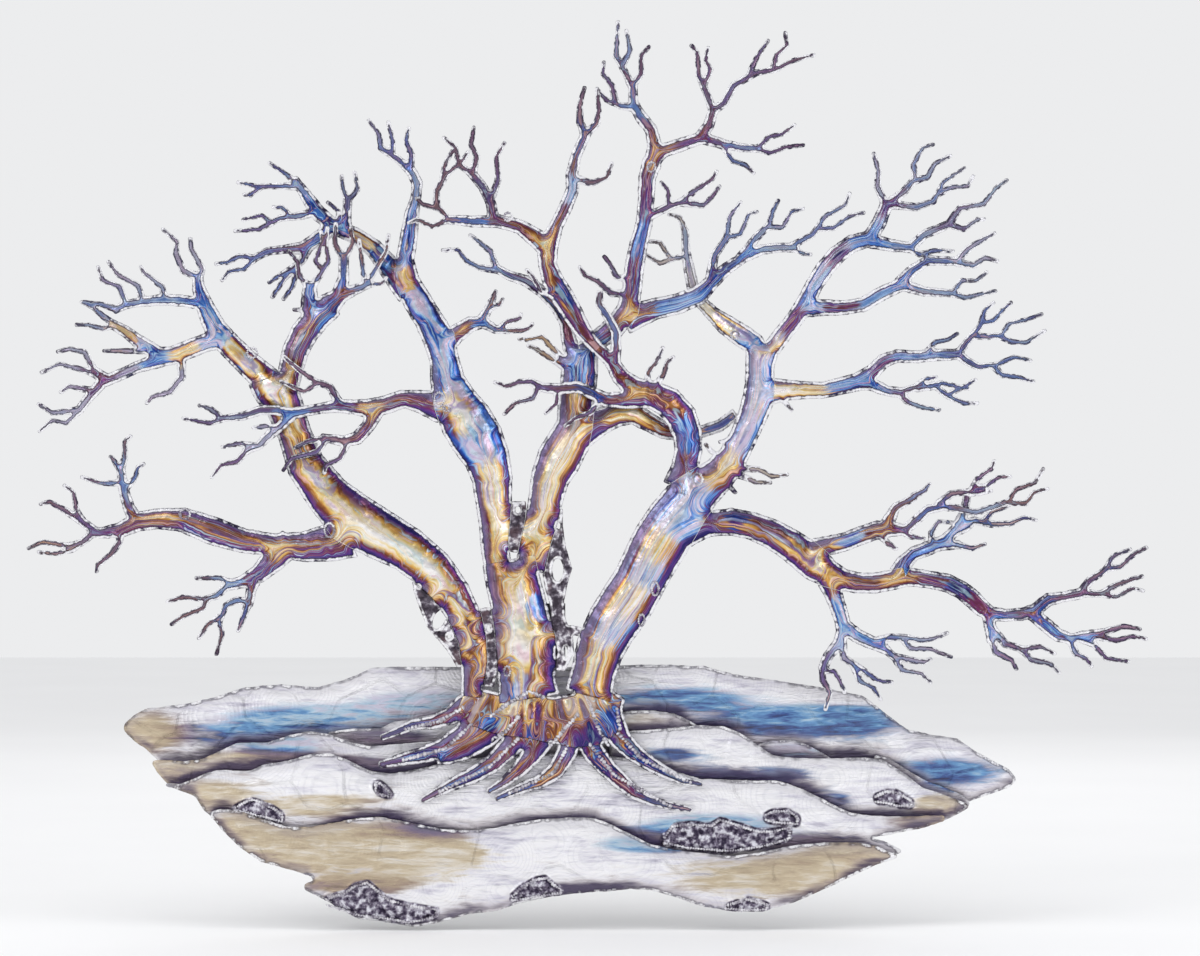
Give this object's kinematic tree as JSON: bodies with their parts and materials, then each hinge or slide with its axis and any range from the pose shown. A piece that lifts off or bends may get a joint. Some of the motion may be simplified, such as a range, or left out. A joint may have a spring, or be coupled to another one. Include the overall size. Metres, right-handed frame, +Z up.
{
  "type": "tree wall sculpture",
  "caption": "Wall sculpture of a gnarled spreading tree on layered hills, in cut, hammered and heat-coloured sheet steel on a flat-bar frame with a slotted wall bracket.",
  "frame": {"origin": "centre of the wall bracket's flat back face, which lies on the wall", "axes": "+X to the viewer's right along the wall, +Y into the wall, +Z up; the sculpture faces -Y"},
  "size_m": [1.1165, 0.0746, 0.9021],
  "materials": {
    "gold": "heat-coloured, straw gold",
    "peach": "heat-coloured, peach and gold",
    "lilac": "heat-coloured, pale lilac",
    "blue": "heat-coloured, blue",
    "brown": "heat-coloured, dark red-brown",
    "violet": "heat-coloured, purple and magenta",
    "silver": "brushed silver",
    "ground": "swirl-brushed silver white",
    "tan": "swirl-brushed, straw gold towards the ends",
    "weld": "rough weld metal",
    "frame": "black satin paint",
    "rubber": "matt black"
  },
  "bodies": {
    "root": {"centre_trunk": "gold", "left_stem": "gold", "centre_stem": "gold", "bridge_limb": "gold", "right_stem": "peach", "lower_right_upper_arm": "peach", "centre_left_stem": "lilac", "far_left_upper_bough": "lilac", "upper_right_bough": "lilac", "lower_right_drop": "lilac", "far_left_lower_bough": "brown", "dark_left_bough": "brown", "inner_left_bough": "brown", "dark_crossing_bough": "brown", "crown_bough": "brown", "lower_right_bough": "brown", "rear_left_bough": "blue", "centre_rear_bough": "blue", "right_rear_bough": "blue", "right_bough": "blue", "lower_right_blue_arm": "blue", "front_left_spray": "violet", "tall_centre_bough": "violet", "lower_right_end": "violet", "root_crown": "violet", "outer_left_root": "violet", "left_root": "violet", "long_left_root": "violet", "middle_root": "violet", "lower_right_root": "violet", "outer_right_root": "violet", "silver_rear_bough": "silver", "left_lace": "weld", "trunk_lace": "weld", "fork_web": "weld", "left_web": "weld", "back_ridge_plate": "ground", "left_slim_ridge": "ground", "right_rear_knoll": "ground", "right_small_mound": "ground", "right_slim_ridge": "ground", "left_rear_strip": "ground", "right_middle_plate": "ground", "main_root_plate": "ground", "front_plate": "tan", "wall_bracket": "frame", "spine_bar": "frame", "ridge_bar": "frame", "front_bar": "frame", "ridge_post_left": "frame", "ridge_post_right": "frame", "root_post": "frame", "front_post_left": "frame", "front_post_right": "frame", "trunk_post": "frame", "left_hanger": "frame", "right_hanger": "frame", "bumper_left": "rubber", "bumper_right": "rubber"}
  },
  "joints": []
}
